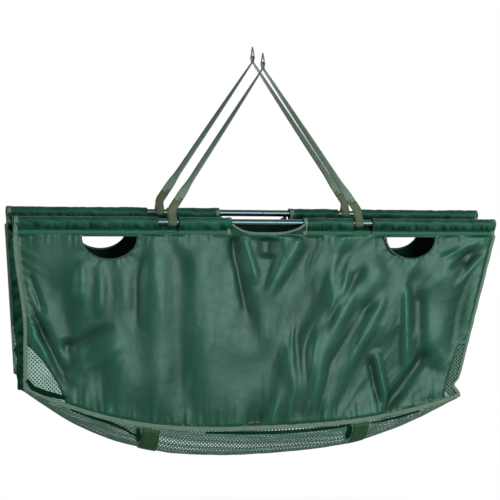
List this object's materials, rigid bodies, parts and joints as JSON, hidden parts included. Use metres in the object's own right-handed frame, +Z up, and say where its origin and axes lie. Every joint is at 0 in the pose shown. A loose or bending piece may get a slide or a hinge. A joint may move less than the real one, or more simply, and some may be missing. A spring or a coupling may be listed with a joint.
{
  "type": "weigh sling",
  "caption": "Folding fish weigh sling: cloth sides on two-piece poles, mesh floor, hand holes and ringed lifting straps.",
  "frame": {"origin": "where the hook of a weighing scale bears on the two rings, midway between their eyes", "axes": "+X along the poles, +Y from the front side to the rear side, +Z up"},
  "size_m": [1.2085, 0.1194, 0.9779],
  "materials": {
    "coated_nylon": "satin",
    "hole_facing": "satin",
    "binding_tape": "matte",
    "netting": "matte",
    "strap_webbing": "matte",
    "floor_webbing": "matte",
    "pole_tube": "gloss",
    "spigot_metal": "satin",
    "pole_plug": "matte",
    "ring_steel": "satin"
  },
  "bodies": {
    "rear_side": {"rear_panel": "coated_nylon", "rear_bottom_tape": "binding_tape", "rear_gap_tape": "binding_tape", "rear_sleeve_left": "coated_nylon", "rear_side_tape_left": "binding_tape", "rear_net_corner_left": "netting", "rear_hole_trim_left": "hole_facing", "rear_inner_mouth_tape_left": "binding_tape", "rear_outer_mouth_tape_left": "binding_tape", "rear_sleeve_right": "coated_nylon", "rear_side_tape_right": "binding_tape", "rear_net_corner_right": "netting", "rear_hole_trim_right": "hole_facing", "rear_inner_mouth_tape_right": "binding_tape", "rear_outer_mouth_tape_right": "binding_tape", "mesh_floor": "netting", "floor_band_left": "floor_webbing", "floor_band_right": "floor_webbing", "end_gusset_left": "coated_nylon", "end_gusset_right": "coated_nylon"},
    "front_side": {"front_panel": "coated_nylon", "front_bottom_tape": "binding_tape", "front_gap_tape": "binding_tape", "front_sleeve_left": "coated_nylon", "front_side_tape_left": "binding_tape", "front_net_corner_left": "netting", "front_hole_trim_left": "hole_facing", "front_inner_mouth_tape_left": "binding_tape", "front_outer_mouth_tape_left": "binding_tape", "front_sleeve_right": "coated_nylon", "front_side_tape_right": "binding_tape", "front_net_corner_right": "netting", "front_hole_trim_right": "hole_facing", "front_inner_mouth_tape_right": "binding_tape", "front_outer_mouth_tape_right": "binding_tape"},
    "front_strap": {"front_strap": "strap_webbing"},
    "front_ring": {"front_ring": "ring_steel"},
    "front_pole_left_half": {"front_pole_left": "pole_tube", "front_pole_cap_left": "pole_plug"},
    "front_pole_right_half": {"front_pole_right": "pole_tube", "front_pole_cap_right": "pole_plug", "front_pole_spigot": "spigot_metal"},
    "rear_strap": {"rear_strap": "strap_webbing"},
    "rear_ring": {"rear_ring": "ring_steel"},
    "rear_pole_left_half": {"rear_pole_left": "pole_tube", "rear_pole_cap_left": "pole_plug"},
    "rear_pole_right_half": {"rear_pole_right": "pole_tube", "rear_pole_cap_right": "pole_plug", "rear_pole_spigot": "spigot_metal"}
  },
  "joints": [
    {"name": "sling_spread", "type": "slide", "parent": "rear_side", "child": "front_side", "axis": [0, -1, 0], "range_m": [-0.045, 0.05], "stiffness_N_per_m": 8, "deforming": ["end_gusset_left", "end_gusset_right"]},
    {"name": "front_strap_fold", "type": "hinge", "parent": "front_side", "child": "front_strap", "pos_m": [0.007, -0.048, -0.412], "axis": [1, 0, 0], "range_deg": [0, 160]},
    {"name": "front_ring_swivel", "type": "hinge", "parent": "front_strap", "child": "front_ring", "pos_m": [0, -0.038, -0.03513], "axis": [0, 1, 0], "range_deg": [-100, 100]},
    {"name": "front_pole_left_draw", "type": "slide", "parent": "front_side", "child": "front_pole_left_half", "axis": [-1, 0, 0], "range_m": [0, 0.62]},
    {"name": "front_pole_right_draw", "type": "slide", "parent": "front_side", "child": "front_pole_right_half", "axis": [1, 0, 0], "range_m": [0, 0.58]},
    {"name": "rear_strap_fold", "type": "hinge", "parent": "rear_side", "child": "rear_strap", "pos_m": [0.007, 0.048, -0.3875], "axis": [-1, 0, 0], "range_deg": [0, 160]},
    {"name": "rear_ring_swivel", "type": "hinge", "parent": "rear_strap", "child": "rear_ring", "pos_m": [0, 0.038, -0.01063], "axis": [0, 1, 0], "range_deg": [-100, 100]},
    {"name": "rear_pole_left_draw", "type": "slide", "parent": "rear_side", "child": "rear_pole_left_half", "axis": [-1, 0, 0], "range_m": [0, 0.62]},
    {"name": "rear_pole_right_draw", "type": "slide", "parent": "rear_side", "child": "rear_pole_right_half", "axis": [1, 0, 0], "range_m": [0, 0.58]}
  ]
}
